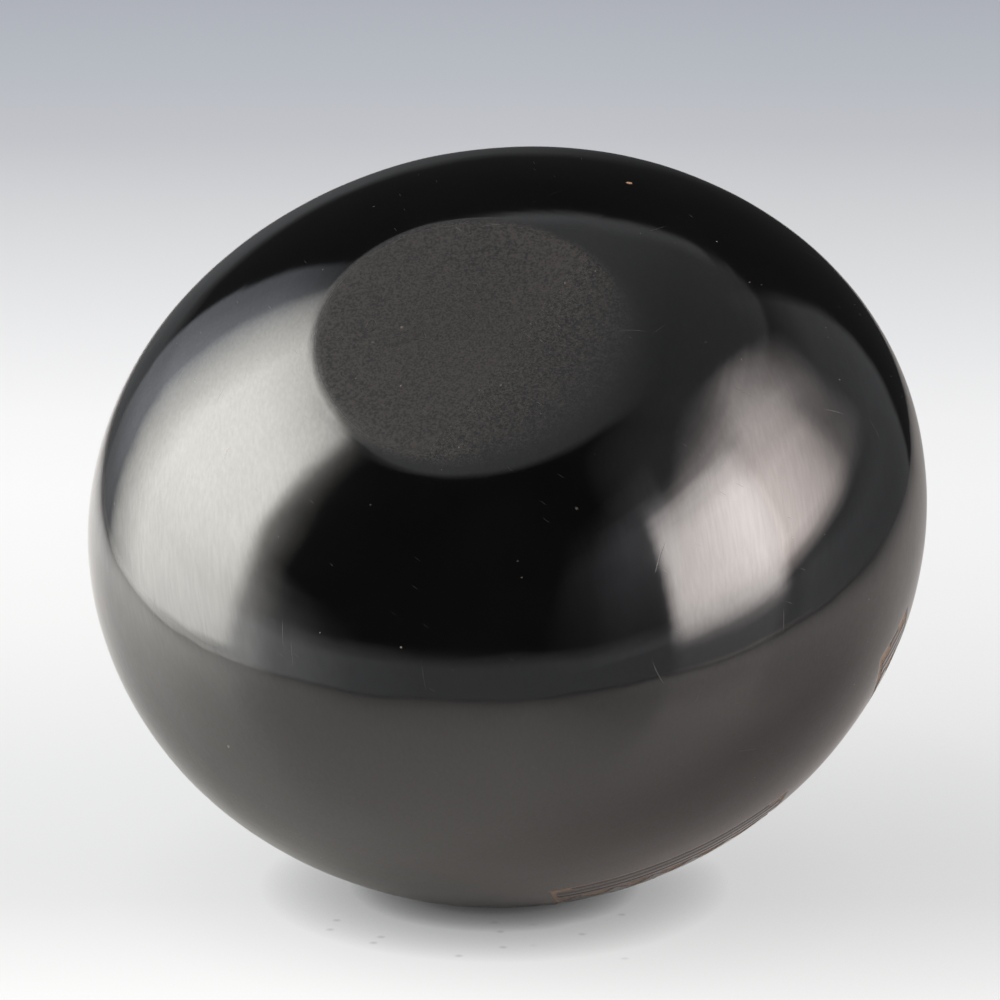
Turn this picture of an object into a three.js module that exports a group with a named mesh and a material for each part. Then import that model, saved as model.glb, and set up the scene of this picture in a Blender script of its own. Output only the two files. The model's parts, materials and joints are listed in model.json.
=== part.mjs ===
// A small coil-built pottery bowl: a closed-in, seed-jar form of burnished black clay on a flat foot.
// A dish-shaped pat of clay makes the floor and lower wall. Coils are laid on it one above the other,
// each drawn down over the inside of the one below and pinched up. The last is rounded off as the rim.
// Millimetres, +Z up, origin at the middle of the foot, on the surface that the bowl stands on.
import * as THREE from "three";

// Outside of the vessel.
const bodyRadius = 45;
const bellyHeight = 27.3;
const overallHeight = 60.7;
const footRadius = 16.8;

// Inside of the vessel.
const mouthRadius = 20;
const wallThickness = 4.2;
const floorThickness = 5;
const lipThickness = 4;

// The clay that it is built up from. Heights of coils are measured up along the wall.
const patHeight = 9;
const coilHeight = 9;
const rimCoilHeight = 7.5;

// The joint between one coil and the next: how far the upper one is drawn down inside,
// and how far the top of the lower one is rounded up into it.
const seamLap = 3;
const seamCrown = 0.7;

// Fineness of the faceted solids.
const roundSteps = 56;
const coilSteps = 3;
const patSteps = 5;
const seamSteps = 3;
const lipSteps = 8;

// Passes in which the wall's curve and the lip that ends it are brought to meet without a corner,
// and the number of parts that a curve is measured in.
const fitPasses = 12;
const curveParts = 1000;

const clay = { color: 0x14120f, roughness: 0.22, metalness: 0 };

/**
 * One side of the wall in section: an egg-shaped curve, widest at the belly, through a low and a high
 * point. At an angle a from the belly its radius is R cos a, and its height over the belly is
 * rise sin a + lean sin² a.
 */
class EggCurve extends THREE.Curve {
  constructor(radius, low, high) {
    super();
    this.arcLengthDivisions = curveParts;
    this.radius = radius;
    this.lowAngle = -Math.acos(low.x / radius);
    this.highAngle = Math.acos(high.x / radius);
    const sinLow = Math.sin(this.lowAngle);
    const sinHigh = Math.sin(this.highAngle);
    const lowShare = (low.y - bellyHeight) / sinLow;
    const highShare = (high.y - bellyHeight) / sinHigh;
    this.lean = (highShare - lowShare) / (sinHigh - sinLow);
    this.rise = lowShare - this.lean * sinLow;
  }

  getPoint(share, target = new THREE.Vector2()) {
    const angle = THREE.MathUtils.lerp(this.lowAngle, this.highAngle, share);
    const sin = Math.sin(angle);
    return target.set(this.radius * Math.cos(angle), bellyHeight + sin * (this.rise + this.lean * sin));
  }

  /** Direction, as an angle from the radius, that the outward side faces at the upper end. */
  facingAtTop() {
    const sin = Math.sin(this.highAngle);
    const cos = Math.cos(this.highAngle);
    return Math.atan2(this.radius * sin, cos * (this.rise + 2 * this.lean * sin));
  }

  /** Length along the curve from its low end to where it reaches a height. */
  lengthToHeight(height) {
    const drop = height - bellyHeight;
    const sin = (2 * drop) / (this.rise + Math.sqrt(this.rise ** 2 + 4 * this.lean * drop));
    const share = (Math.asin(sin) - this.lowAngle) / (this.highAngle - this.lowAngle);
    return this.lengthToShare(share);
  }

  /** Length along the curve from its low end to a share of its sweep. */
  lengthToShare(share) {
    const lengths = this.getLengths();
    const place = share * (lengths.length - 1);
    const index = Math.min(Math.floor(place), lengths.length - 2);
    return THREE.MathUtils.lerp(lengths[index], lengths[index + 1], place - index);
  }

  /** Length along the curve from its low end to the point of it that is nearest to a place. */
  lengthNearest(place) {
    const lengths = this.getLengths();
    const points = this.getPoints(lengths.length - 1);
    const distances = points.map((point) => point.distanceTo(place));
    return lengths[distances.indexOf(Math.min(...distances))];
  }

  /** Points from one length along the curve to another. */
  stretch(from, to, steps) {
    const whole = this.getLength();
    return Array.from({ length: steps + 1 }, (_, step) =>
      this.getPointAt(THREE.MathUtils.clamp(THREE.MathUtils.lerp(from, to, step / steps) / whole, 0, 1)),
    );
  }
}

const polar = (angle, radius) => new THREE.Vector2(Math.cos(angle), Math.sin(angle)).multiplyScalar(radius);

// The lip is round in section, and both sides of the wall run into it.
const lipRadius = lipThickness / 2;
const lipCentre = new THREE.Vector2(mouthRadius + lipRadius, overallHeight - lipRadius);

/** A side of the wall that ends on the lip's round: side is 1 for the outside and -1 for the inside. */
function wallSide(radius, low, side) {
  let facing = Math.PI / 4;
  let curve;
  for (let pass = 0; pass < fitPasses; pass++) {
    curve = new EggCurve(radius, low, lipCentre.clone().add(polar(facing, side * lipRadius)));
    facing = curve.facingAtTop();
  }
  return curve;
}

const outside = wallSide(bodyRadius, new THREE.Vector2(footRadius, 0), 1);
const inside = wallSide(bodyRadius - wallThickness, new THREE.Vector2(0, floorThickness), -1);

// Where the joints come out on each side of the wall, as lengths up along it. The coils share the wall
// between the pat and the rim coil equally, and inside each joint comes out a lap lower than straight
// across.
const patEdge = outside.lengthToHeight(patHeight);
const rimEdge = outside.getLength() - rimCoilHeight;
const coilCount = Math.max(1, Math.round((rimEdge - patEdge) / coilHeight));

const seams = Array.from({ length: coilCount + 1 }, (_, index) => {
  const outer = THREE.MathUtils.lerp(patEdge, rimEdge, index / coilCount);
  const across = inside.lengthNearest(outside.getPointAt(outer / outside.getLength()));
  return { outer, inner: across - seamLap };
});

/** Points across a joint from the outside to the inside, arched up by the crown of the lower coil's top. */
function seamPoints(seam) {
  const from = outside.getPointAt(seam.outer / outside.getLength());
  const to = inside.getPointAt(seam.inner / inside.getLength());
  const up = new THREE.Vector2(to.y - from.y, from.x - to.x).normalize();
  return Array.from({ length: seamSteps + 1 }, (_, step) => {
    const share = step / seamSteps;
    const arch = seamCrown * Math.sin(Math.PI * share);
    return from.clone().lerp(to, share).addScaledVector(up, arch);
  });
}

const joints = seams.map(seamPoints);

/** A ring or dish of clay turned from a section, whose first and last points meet or lie on the axis. */
function turned(name, section) {
  const geometry = new THREE.LatheGeometry(section, roundSteps).rotateX(Math.PI / 2);
  const mesh = new THREE.Mesh(geometry, new THREE.MeshStandardMaterial(clay));
  mesh.name = name;
  return mesh;
}

const withoutEnds = (points) => points.slice(1, -1);

/** The dish-shaped pat: foot, lower wall and floor. */
function basePat() {
  const seam = seams[0];
  return turned("base_pat", [
    new THREE.Vector2(0, 0),
    ...outside.stretch(0, seam.outer, patSteps).slice(0, -1),
    ...joints[0],
    ...inside.stretch(seam.inner, 0, patSteps).slice(1, -1),
    new THREE.Vector2(0, floorThickness),
  ]);
}

/** One coil of the wall, between the joint below it and the joint above it. */
function wallCoil(index) {
  const below = seams[index];
  const above = seams[index + 1];
  const start = joints[index][0];
  return turned(`wall_coil_${index + 1}`, [
    start,
    ...withoutEnds(outside.stretch(below.outer, above.outer, coilSteps)),
    ...joints[index + 1],
    ...withoutEnds(inside.stretch(above.inner, below.inner, coilSteps)),
    ...joints[index].slice(1).reverse(),
    start,
  ]);
}

/** The last coil, rounded off as the lip of the mouth. */
function rimCoil() {
  const below = seams[coilCount];
  const joint = joints[coilCount];
  const from = outside.facingAtTop();
  const to = inside.facingAtTop() + Math.PI;
  const lip = Array.from({ length: lipSteps + 1 }, (_, step) =>
    lipCentre.clone().add(polar(THREE.MathUtils.lerp(from, to, step / lipSteps), lipRadius)),
  );
  return turned("rim_coil", [
    joint[0],
    ...withoutEnds(outside.stretch(below.outer, outside.getLength(), coilSteps)),
    ...lip,
    ...withoutEnds(inside.stretch(inside.getLength(), below.inner, coilSteps)),
    ...joint.slice(1).reverse(),
    joint[0],
  ]);
}

const bowl = new THREE.Group();
bowl.name = "pottery_bowl";
bowl.add(basePat());
for (let index = 0; index < coilCount; index++) {
  bowl.add(wallCoil(index));
}
bowl.add(rimCoil());

export default bowl;
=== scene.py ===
"""The looks of a small coil-built bowl of burnished black clay, lying on its shoulder on a pale table.

The bowl is modelled standing on its foot, as the CAD frame has it. The table, the light and the camera are
placed around it at the slant at which the bowl was photographed, with its foot towards the camera.
"""
import json
import logging
import math
from dataclasses import dataclass, field
from enum import Enum
from typing import Any

import bpy
import numpy as np
from mathutils import Matrix, Vector

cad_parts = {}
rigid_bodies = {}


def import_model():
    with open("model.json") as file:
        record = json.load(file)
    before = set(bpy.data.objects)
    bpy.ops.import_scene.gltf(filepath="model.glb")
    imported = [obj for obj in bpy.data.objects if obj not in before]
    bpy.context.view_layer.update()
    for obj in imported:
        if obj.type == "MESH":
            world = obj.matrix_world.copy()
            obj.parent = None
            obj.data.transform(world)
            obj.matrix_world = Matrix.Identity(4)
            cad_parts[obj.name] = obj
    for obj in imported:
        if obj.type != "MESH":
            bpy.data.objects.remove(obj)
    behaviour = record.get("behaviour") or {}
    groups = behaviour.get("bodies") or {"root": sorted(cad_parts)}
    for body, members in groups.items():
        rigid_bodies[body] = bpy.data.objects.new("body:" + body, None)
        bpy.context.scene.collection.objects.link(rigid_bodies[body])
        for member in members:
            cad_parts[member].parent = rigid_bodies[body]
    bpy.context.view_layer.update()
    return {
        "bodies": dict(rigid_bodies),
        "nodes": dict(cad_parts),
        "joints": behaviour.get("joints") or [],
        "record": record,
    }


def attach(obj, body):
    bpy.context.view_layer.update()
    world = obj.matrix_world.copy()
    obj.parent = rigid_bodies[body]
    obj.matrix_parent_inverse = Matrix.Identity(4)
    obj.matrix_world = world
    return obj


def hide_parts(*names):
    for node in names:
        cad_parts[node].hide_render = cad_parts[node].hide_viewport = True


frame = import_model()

log = logging.getLogger("pottery_bowl")

MM = 0.001
BODY = "root"
WALL_MAP = "wall"
CARD_MAP = "card"
BARE_FACES = "bare"

Colour = tuple[float, float, float, float]
Triple = tuple[float, float, float]
Pair = tuple[float, float]

BLACK: Colour = (0.0, 0.0, 0.0, 1.0)


def srgb(red: int, green: int, blue: int) -> Colour:
    """The linear colour of an 8-bit display colour."""
    linear = [((c / 255 + 0.055) / 1.055) ** 2.4 if c > 10 else c / 255 / 12.92 for c in (red, green, blue)]
    return (linear[0], linear[1], linear[2], 1.0)


class Wire:
    """A socket that gives a value, with operators that add Math nodes to its tree."""

    def __init__(self, graph: "Graph", socket: bpy.types.NodeSocket) -> None:
        """Keep the socket and the graph that it belongs to."""
        self.graph = graph
        self.socket = socket

    def __add__(self, other: "Value") -> "Wire":
        """This plus other."""
        return self.graph.math("ADD", self, other)

    __radd__ = __add__

    def __sub__(self, other: "Value") -> "Wire":
        """This less other."""
        return self.graph.math("SUBTRACT", self, other)

    def __rsub__(self, other: "Value") -> "Wire":
        """Other less this."""
        return self.graph.math("SUBTRACT", other, self)

    def __mul__(self, other: "Value") -> "Wire":
        """This times other."""
        return self.graph.math("MULTIPLY", self, other)

    __rmul__ = __mul__

    def __truediv__(self, other: "Value") -> "Wire":
        """This over other."""
        return self.graph.math("DIVIDE", self, other)

    def __rtruediv__(self, other: "Value") -> "Wire":
        """Other over this."""
        return self.graph.math("DIVIDE", other, self)

    def __neg__(self) -> "Wire":
        """This with its sign turned."""
        return self.graph.math("MULTIPLY", self, -1.0)

    def __abs__(self) -> "Wire":
        """This without its sign."""
        return self.graph.math("ABSOLUTE", self)

    def sin(self) -> "Wire":
        """Sine of this angle."""
        return self.graph.math("SINE", self)

    def cos(self) -> "Wire":
        """Cosine of this angle."""
        return self.graph.math("COSINE", self)

    def floor(self) -> "Wire":
        """The whole number at or under this."""
        return self.graph.math("FLOOR", self)

    def wave(self, half: float) -> "Wire":
        """This folded to and fro between 0 and half."""
        return self.graph.math("PINGPONG", self, half)

    def wrap(self, half: float) -> "Wire":
        """This brought into the range of half either side of 0."""
        return self.graph.math("WRAP", self, half, -half)

    def least(self, other: "Value") -> "Wire":
        """The smaller of this and other."""
        return self.graph.math("MINIMUM", self, other)

    def most(self, other: "Value") -> "Wire":
        """The larger of this and other."""
        return self.graph.math("MAXIMUM", self, other)

    def ramp(self, start: float, end: float) -> "Wire":
        """A straight climb from 0 at start to 1 at end, level outside them."""
        scale = 1.0 / (end - start)
        return self.graph.math("MULTIPLY_ADD", self, scale, -start * scale, clamp=True)


Value = Wire | float


class Graph:
    """A node tree, of shader or geometry nodes, that grows as expressions are written on its wires."""

    def __init__(self, tree: bpy.types.NodeTree) -> None:
        """Work on a tree."""
        self.tree = tree

    @staticmethod
    def find(sockets: Any, key: int | str) -> bpy.types.NodeSocket:
        """A socket by its number, identifier or name."""
        if isinstance(key, int):
            return sockets[key]
        named = [s for s in sockets if s.identifier == key] or [s for s in sockets if s.name == key]
        return named[0]

    def node(
        self,
        kind: str,
        settings: dict[str, Any] | None = None,
        inputs: dict[int | str, Any] | None = None,
    ) -> bpy.types.Node:
        """Add a node.

        Args:
            kind: The node's type.
            settings: Its settings, set before its sockets; "stops" are a ramp's places and colours.
            inputs: A value or a wire for each socket that isn't left as it is.

        Returns:
            The node.
        """
        node = self.tree.nodes.new(kind)
        for name, value in (settings or {}).items():
            if name == "stops":
                self.set_stops(node, value)
            else:
                setattr(node, name, value)
        for key, value in (inputs or {}).items():
            socket = self.find(node.inputs, key)
            if isinstance(value, Wire):
                self.tree.links.new(value.socket, socket)
            else:
                socket.default_value = value
        return node

    @staticmethod
    def set_stops(node: bpy.types.Node, stops: tuple[tuple[float, Colour], ...]) -> None:
        """Give a ramp node its stops, each a place from 0 to 1 and a colour."""
        elements = node.color_ramp.elements
        while len(elements) < len(stops):
            elements.new(1.0)
        for element, (place, colour) in zip(elements, stops):
            element.position = place
            element.color = colour

    def wire(
        self,
        kind: str,
        settings: dict[str, Any] | None = None,
        inputs: dict[int | str, Any] | None = None,
        output: int | str = 0,
    ) -> Wire:
        """Add a node and give the wire from one of its outputs."""
        return Wire(self, self.find(self.node(kind, settings, inputs).outputs, output))

    def math(self, operation: str, *values: Value, clamp: bool = False) -> Wire:
        """Add a Math node on values."""
        settings = {"operation": operation, "use_clamp": clamp}
        return self.wire("ShaderNodeMath", settings, dict(enumerate(values)))

    def vector(self, x: Value, y: Value, z: Value) -> Wire:
        """Join three values as a vector."""
        return self.wire("ShaderNodeCombineXYZ", None, {0: x, 1: y, 2: z})

    def parts(self, vector: Wire) -> tuple[Wire, Wire, Wire]:
        """The three values of a vector."""
        node = self.node("ShaderNodeSeparateXYZ", None, {0: vector})
        return Wire(self, node.outputs[0]), Wire(self, node.outputs[1]), Wire(self, node.outputs[2])

    def vectors(self, operation: str, *vectors: Any) -> Wire:
        """Add a Vector Math node that gives a vector."""
        return self.wire("ShaderNodeVectorMath", {"operation": operation}, dict(enumerate(vectors)))

    def along(self, vector: Wire, length: Value) -> Wire:
        """A vector times a value."""
        return self.wire("ShaderNodeVectorMath", {"operation": "SCALE"}, {0: vector, "Scale": length})

    def dot(self, vector: Wire, direction: Vector) -> Wire:
        """How far a vector goes along a direction."""
        settings = {"operation": "DOT_PRODUCT"}
        return self.wire("ShaderNodeVectorMath", settings, {0: vector, 1: direction}, "Value")

    def noise(self, vector: Wire, scale: float, detail: float = 2.0, roughness: float = 0.5) -> Wire:
        """Cloudy noise between 0 and 1."""
        inputs = {"Vector": vector, "Scale": scale, "Detail": detail, "Roughness": roughness}
        return self.wire("ShaderNodeTexNoise", None, inputs)

    def spots(
        self,
        place: Wire,
        scale: float,
        size: Pair,
        drawn: Pair,
        ragged: Wire | None = None,
        dimensions: str = "3D",
    ) -> Wire:
        """Round spots, one to a cell of space, of which only some are drawn.

        Args:
            place: The place that is asked about.
            scale: Cells to a unit of length.
            size: Distances from a spot's middle, in cells, at which it starts and is full.
            drawn: Random values of the cells at which a spot starts to be drawn and is drawn fully.
            ragged: What is added to the distance, to make the edges ragged.
            dimensions: Whether the cells fill space or a plane.

        Returns:
            1 in a spot and 0 beside it.
        """
        settings = {"voronoi_dimensions": dimensions}
        node = self.node("ShaderNodeTexVoronoi", settings, {"Vector": place, "Scale": scale})
        distance = Wire(self, node.outputs["Distance"])
        if ragged is not None:
            distance = distance + ragged
        draw = self.parts(Wire(self, node.outputs["Color"]))[0]
        return distance.ramp(*size) * draw.ramp(*drawn)

    def mix(self, share: Value, first: Any, second: Any) -> Wire:
        """A colour between two colours."""
        inputs = {"Factor_Float": share, "A_Color": first, "B_Color": second}
        return self.wire("ShaderNodeMix", {"data_type": "RGBA"}, inputs, "Result_Color")

    def stops(self, place: Wire, levels: tuple[tuple[float, Colour], ...]) -> Wire:
        """A colour that changes with a place, given by places in order and the colour at each."""
        first, last = levels[0][0], levels[-1][0]
        stops = tuple(((at - first) / (last - first), colour) for at, colour in levels)
        return self.wire("ShaderNodeValToRGB", {"stops": stops}, {0: place.ramp(first, last)})

    def end(self, shader: Wire, kind: str = "ShaderNodeOutputMaterial") -> None:
        """Lead a shader to the tree's output."""
        self.node(kind, None, {"Surface": shader})


def blank_graph(owner: bpy.types.Material | bpy.types.World) -> Graph:
    """The graph of a new material or world, with its nodes cleared."""
    owner.use_nodes = True
    owner.node_tree.nodes.clear()
    return Graph(owner.node_tree)


@dataclass(frozen=True)
class EggCurve:
    """One side of the wall in section, widest at the belly.

    At an angle a from the belly its radius is R cos a, and its height over the belly is
    rise sin a + lean sin² a.
    """

    radius: float
    belly: float
    rise: float
    lean: float
    low: float
    high: float

    @classmethod
    def through(cls, radius: float, belly: float, low: Pair, high: Pair) -> "EggCurve":
        """The curve of a belly that passes a low and a high point, each given as radius and height."""
        angles = -math.acos(low[0] / radius), math.acos(high[0] / radius)
        sines = math.sin(angles[0]), math.sin(angles[1])
        shares = (low[1] - belly) / sines[0], (high[1] - belly) / sines[1]
        lean = (shares[1] - shares[0]) / (sines[1] - sines[0])
        return cls(radius, belly, shares[0] - lean * sines[0], lean, angles[0], angles[1])

    def points(self, angles: np.ndarray) -> np.ndarray:
        """Radius and height at angles, as rows."""
        sines = np.sin(angles)
        heights = self.belly + sines * (self.rise + self.lean * sines)
        return np.stack([self.radius * np.cos(angles), heights], axis=-1)

    def facing(self) -> float:
        """Angle from the radius that the outward side faces at the upper end."""
        sine, cosine = math.sin(self.high), math.cos(self.high)
        return math.atan2(self.radius * sine, cosine * (self.rise + 2 * self.lean * sine))

    def measured(self, parts: int = 4000) -> tuple[np.ndarray, np.ndarray, np.ndarray]:
        """Angles along the curve, with their points and the lengths to them from the low end."""
        angles = np.linspace(self.low, self.high, parts + 1)
        points = self.points(angles)
        steps = np.linalg.norm(np.diff(points, axis=0), axis=1)
        return angles, points, np.concatenate([[0.0], np.cumsum(steps)])


@dataclass(frozen=True)
class Joint:
    """Where the joint between one coil and the next comes out, as angles up the two sides of the wall."""

    outside: float
    inside: float


@dataclass(frozen=True)
class VesselShape:
    """Sizes of the bowl, as the CAD model has them."""

    body_radius: float = 45 * MM
    belly_height: float = 27.3 * MM
    overall_height: float = 60.7 * MM
    foot_radius: float = 16.8 * MM
    mouth_radius: float = 20 * MM
    wall_thickness: float = 4.2 * MM
    floor_thickness: float = 5 * MM
    lip_thickness: float = 4 * MM
    pat_height: float = 9 * MM
    coil_height: float = 9 * MM
    rim_coil_height: float = 7.5 * MM
    seam_lap: float = 3 * MM
    seam_crown: float = 0.7 * MM
    fit_passes: int = 12

    @property
    def lip_radius(self) -> float:
        """Radius of the lip's round section."""
        return self.lip_thickness / 2

    @property
    def lip_centre(self) -> Pair:
        """Radius and height of the middle of the lip's section."""
        return self.mouth_radius + self.lip_radius, self.overall_height - self.lip_radius

    def side(self, radius: float, low: Pair, out: int) -> EggCurve:
        """A side of the wall that runs into the lip: out is 1 for the outside and -1 for the inside."""
        facing = math.pi / 4
        curve = None
        for _ in range(self.fit_passes):
            reach = out * self.lip_radius
            centre = self.lip_centre
            high = (centre[0] + reach * math.cos(facing), centre[1] + reach * math.sin(facing))
            curve = EggCurve.through(radius, self.belly_height, low, high)
            facing = curve.facing()
        return curve

    def outside(self) -> EggCurve:
        """The outer side of the wall."""
        return self.side(self.body_radius, (self.foot_radius, 0.0), 1)

    def inside(self) -> EggCurve:
        """The inner side of the wall."""
        return self.side(self.body_radius - self.wall_thickness, (0.0, self.floor_thickness), -1)

    def joints(self) -> list[Joint]:
        """The joints from the pat up to the rim coil."""
        angles, points, lengths = self.outside().measured()
        inner_angles, inner_points, inner_lengths = self.inside().measured()
        first = float(np.interp(self.pat_height, points[:, 1], lengths))
        last = lengths[-1] - self.rim_coil_height
        count = max(1, round((last - first) / self.coil_height))
        joints = []
        for length in np.linspace(first, last, count + 1):
            angle = float(np.interp(length, lengths, angles))
            place = self.outside().points(np.array(angle))
            nearest = int(np.argmin(np.linalg.norm(inner_points - place, axis=1)))
            inner = float(np.interp(inner_lengths[nearest] - self.seam_lap, inner_lengths, inner_angles))
            joints.append(Joint(angle, inner))
        return joints


class Stretch(Enum):
    """A part of the way round a coil's section."""

    OUTSIDE = "outside"
    LIP = "lip"
    TOP_JOINT = "top joint"
    INSIDE = "inside"
    LOW_JOINT = "low joint"


class Kind(Enum):
    """A kind of clay piece, with the stretches that close its section in order."""

    PAT = (Stretch.OUTSIDE, Stretch.TOP_JOINT, Stretch.INSIDE)
    COIL = (Stretch.OUTSIDE, Stretch.TOP_JOINT, Stretch.INSIDE, Stretch.LOW_JOINT)
    RIM = (Stretch.OUTSIDE, Stretch.LIP, Stretch.INSIDE, Stretch.LOW_JOINT)


@dataclass(frozen=True)
class ShoulderPanels:
    """Like panels scratched through the slip of the shoulder: teeth under hatched steps, and fine lines."""

    count: int = 2
    middle: float = math.radians(-103)
    start: float = math.radians(19.9)
    mean_radius: float = 37.5 * MM
    wall_scale: float = 41.4 * MM
    half_width: float = 12 * MM
    height: float = 15.4 * MM
    frame_line: float = 0.45 * MM
    fine_line: float = 0.28 * MM
    border_lines: int = 3
    border_pitch: float = 1.4 * MM
    margin: float = 4.2 * MM
    corner: Pair = (1.8 * MM, 1.0 * MM)
    teeth: int = 6
    tooth_height: float = 3.6 * MM
    steps: int = 3
    hatch: float = 1.15 * MM
    soft: float = 0.1 * MM

    def mask(self, around: Wire, angle: Wire) -> Wire:
        """Where the slip is scratched away.

        Args:
            around: Angle round the bowl, of shader or geometry nodes.
            angle: Angle up the wall from the belly.

        Returns:
            1 in the scratched clay and 0 on the slip.
        """
        across = (around - self.middle).wrap(math.pi / self.count) * self.mean_radius
        up = (angle - self.start) * self.wall_scale
        side = abs(across)
        inner_top = self.height - self.border_pitch

        def under(value: Value, limit: Value) -> Wire:
            """1 where a value is under a limit, with a soft edge."""
            return (limit - value).ramp(-self.soft / 2, self.soft / 2)

        def line(value: Wire, place: float, width: float) -> Wire:
            """1 on a line of some width at a place."""
            return under(abs(value - place), width / 2)

        half_line = self.frame_line / 2
        reach = under(side, self.half_width + half_line).least(under(up, self.height + half_line))
        reach = reach.least(under(-half_line, up))
        frame = line(side, self.half_width, self.frame_line).most(line(up, 0.0, self.frame_line))
        frame = frame.most(line(up, self.height, self.frame_line))
        frame = frame.most(line(up, inner_top, self.fine_line))
        for number in range(1, self.border_lines):
            frame = frame.most(line(up, number * self.border_pitch, self.fine_line))
        block = under(self.half_width - self.corner[0], side).least(under(up, self.corner[1]))
        frame = frame.most(block)

        pitch = 2 * self.half_width / self.teeth
        base = self.margin
        over_base = up - base
        tooth = (across + pitch / 2).wave(pitch / 2) * (2 * self.tooth_height / pitch)
        teeth = under(over_base, tooth).least(under(0.0, over_base))

        floor_of_steps = base + self.tooth_height + self.fine_line
        over_steps = up - floor_of_steps
        stair_height = inner_top - floor_of_steps
        share = across.wave(pitch) * (self.steps / pitch)
        stairs = share.floor() * (stair_height / self.steps)
        filled = under(stairs + self.fine_line, over_steps).least(under(up, inner_top))
        hatching = under((across + up).wave(self.hatch / 2), self.fine_line / 2)
        hatched = hatching.least(under(over_steps, stairs - self.fine_line)).least(under(0.0, over_steps))

        return frame.most(teeth).most(filled).most(hatched).least(reach)


@dataclass(frozen=True)
class ShoulderDesign:
    """All that is scratched through the slip: wide panels, with a tall narrow one beside each."""

    wide: ShoulderPanels = ShoulderPanels()
    narrow: ShoulderPanels = ShoulderPanels(
        middle=math.radians(-145.5),
        start=math.radians(6.5),
        half_width=2.8 * MM,
        height=25 * MM,
        teeth=2,
        steps=2,
    )

    @property
    def lowest(self) -> float:
        """Angle up the wall at which the lower panels start."""
        return min(self.wide.start, self.narrow.start)

    def mask(self, around: Wire, angle: Wire) -> Wire:
        """1 in scratched clay and 0 on the slip, at an angle round the bowl and an angle up the wall."""
        return self.wide.mask(around, angle).most(self.narrow.mask(around, angle))


@dataclass
class SectionTree:
    """A group of nodes that gives a point of the clay, at an angle up the section and an angle round it."""

    name: str
    inputs: tuple[str, ...]
    panels: ShoulderDesign
    graph: Graph = field(init=False)
    source: bpy.types.Node = field(init=False)
    seed_shift: Triple = (3.7, 1.9, 8.2)
    foot_way: float = math.radians(-155)
    foot_fade: float = 9 * MM
    rubbed_way: float = math.radians(-120)
    rubbed_span: Pair = (-0.2, 0.9)
    least_blend: float = 0.25
    lobe_way: float = math.radians(65)
    swell_scales: Triple = (26.0, 85.0, 170.0)
    swell_shares: Pair = (0.16, 0.05)
    swell_level: float = 0.66
    calm_height: float = 4 * MM

    def __post_init__(self) -> None:
        """Build the group."""
        tree = bpy.data.node_groups.new(f"{self.name}_point", "GeometryNodeTree")
        for name in ("Angle", "Around") + self.inputs:
            tree.interface.new_socket(name=name, in_out="INPUT", socket_type="NodeSocketFloat")
        tree.interface.new_socket(name="Point", in_out="OUTPUT", socket_type="NodeSocketVector")
        self.graph = Graph(tree)
        self.source = self.graph.node("NodeGroupInput")
        point = self.point(self.size("Angle"), self.size("Around"))
        self.graph.node("NodeGroupOutput", None, {0: point})

    def size(self, name: str) -> Wire:
        """One of the group's inputs."""
        return Wire(self.graph, self.source.outputs[name])

    def point(self, angle: Wire, around: Wire) -> Wire:
        """The point at two angles."""
        raise NotImplementedError

    def egg(self, angle: Wire, around: Wire, foot: bool) -> tuple[Wire, Wire]:
        """A point of the wall's even curve, with or without the foot, and the way that it faces."""
        sine, cosine = angle.sin(), angle.cos()
        turn_x, turn_y = around.cos(), around.sin()
        radius, rise, lean = self.size("Radius"), self.size("Rise"), self.size("Lean")
        reach = radius * cosine
        height = self.size("Belly Height") + sine * (rise + lean * sine)
        if foot:
            dome = self.size("Foot Dome")
            share = reach / self.size("Foot Radius")
            rubbed = (around - self.rubbed_way).cos().ramp(*self.rubbed_span)
            lobes = ((around - self.lobe_way) * 2.0).cos() * (1.0 - rubbed) * self.size("Foot Lobes")
            shift = (around - self.foot_way).cos() * self.size("Foot Shift")
            lifted = height + (dome - shift - lobes) * height.ramp(self.foot_fade, 0.0)
            blend = self.size("Foot Blend") * (self.least_blend + rubbed)
            height = self.graph.math("SMOOTH_MAX", lifted, share * share * dome, blend)
        steep = cosine * (rise + 2.0 * lean * sine)
        facing = self.graph.vector(steep * turn_x, steep * turn_y, radius * sine)
        point = self.graph.vector(reach * turn_x, reach * turn_y, height)
        return point, self.graph.vectors("NORMALIZE", facing)

    def uneven(self, point: Wire) -> Wire:
        """How far hand work leaves a place of the outside in or out, nothing at the foot."""
        graph = self.graph
        moved = graph.vectors("ADD", point, self.seed_shift)
        broad, close, dents = (graph.noise(moved, scale, 1.0) for scale in self.swell_scales)
        close_share, dent_share = self.swell_shares
        swell = broad - self.swell_level + (close - 0.5) * close_share + (dents - 0.5) * dent_share
        calm = graph.parts(point)[2].ramp(0.0, self.calm_height)
        return swell * self.size("Unevenness") * calm

    def moved(self, point: Wire, facing: Wire, out: Wire) -> Wire:
        """A point moved some way out."""
        return self.graph.vectors("ADD", point, self.graph.along(facing, out))

    def at(self, graph: Graph, sizes: dict[str, Wire], angle: Wire, around: Wire) -> Wire:
        """Use the group in another tree.

        Args:
            graph: The other tree.
            sizes: Wires for the group's sizes, by the names of its inputs.
            angle: Angle up the section.
            around: Angle round the axis.

        Returns:
            The point.
        """
        values = {"Angle": angle, "Around": around} | {name: sizes[name] for name in self.inputs}
        return graph.wire("GeometryNodeGroup", {"node_tree": self.graph.tree}, values)


class OutsideTree(SectionTree):
    """The outside of the wall and the foot, with its unevenness and its scratched panels."""

    def point(self, angle: Wire, around: Wire) -> Wire:
        """The point at two angles."""
        point, facing = self.egg(angle, around, foot=True)
        depth = self.panels.mask(around, angle) * self.size("Scratch Depth")
        return self.moved(point, facing, self.uneven(point) - depth)


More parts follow.
